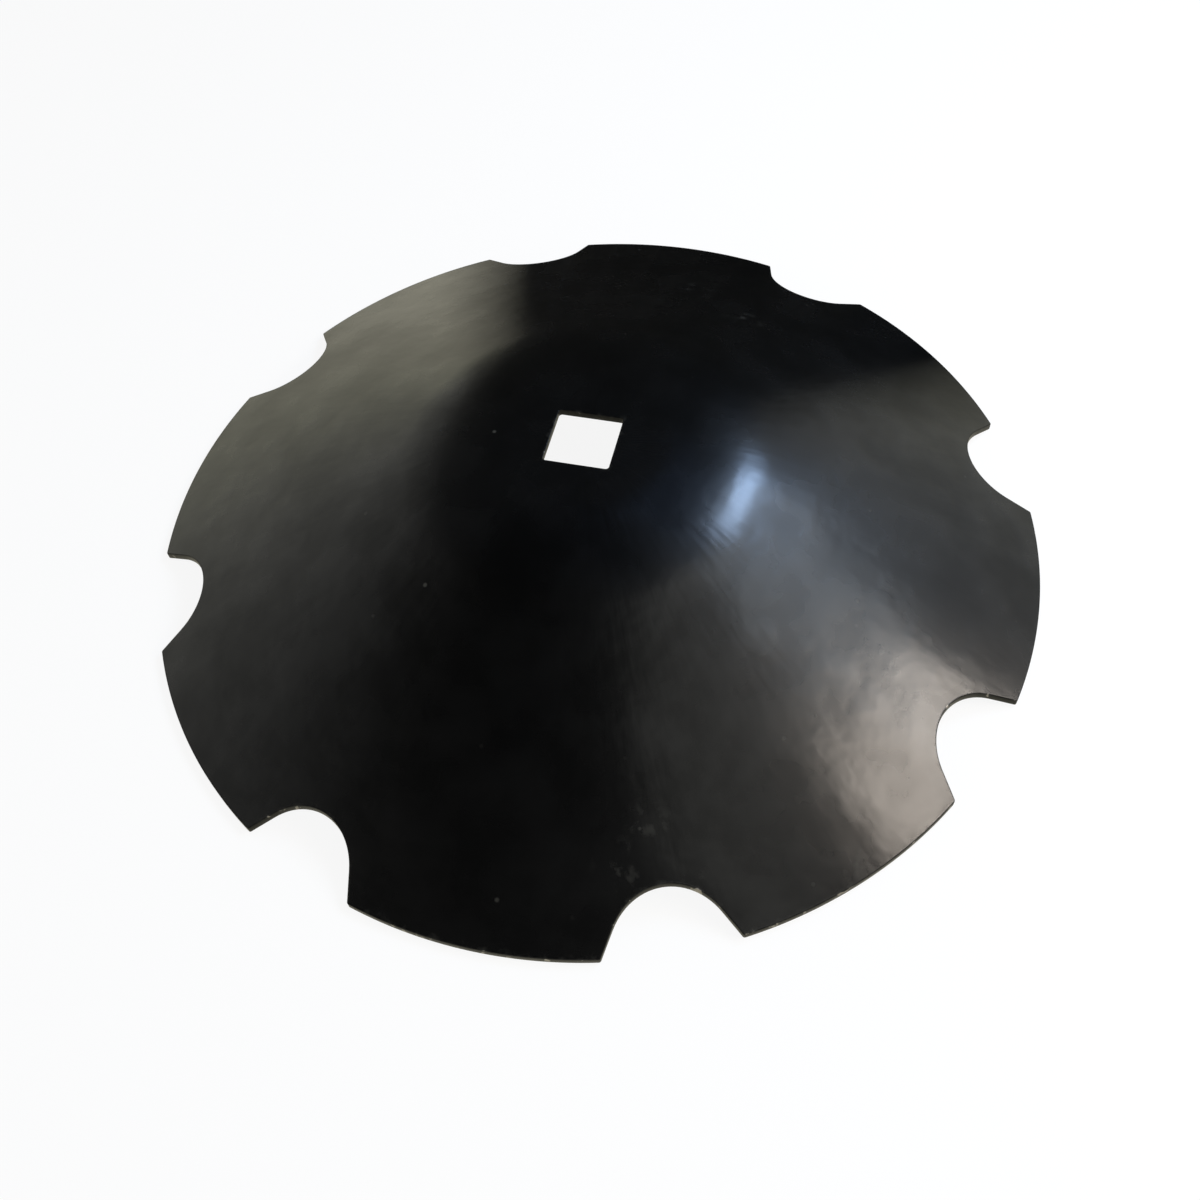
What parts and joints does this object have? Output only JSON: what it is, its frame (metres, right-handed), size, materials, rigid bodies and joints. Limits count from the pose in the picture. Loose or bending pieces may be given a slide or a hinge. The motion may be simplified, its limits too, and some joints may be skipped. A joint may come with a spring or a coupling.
{
  "type": "harrow disc blade",
  "caption": "Dished steel disc with a notched rim and a square axle hole; cuts and turns soil on a disc harrow.",
  "frame": {"origin": "on the disc's axis, in the plane that the rim rests on, hollow side down", "axes": "+Z along the disc's axis, from the rim to the crown; +X and +Y square to the flats of the axle hole"},
  "size_m": [0.56, 0.56, 0.0963],
  "materials": {
    "black_lacquer": "gloss"
  },
  "bodies": {
    "root": {"disc_blade": "black_lacquer"}
  },
  "joints": []
}
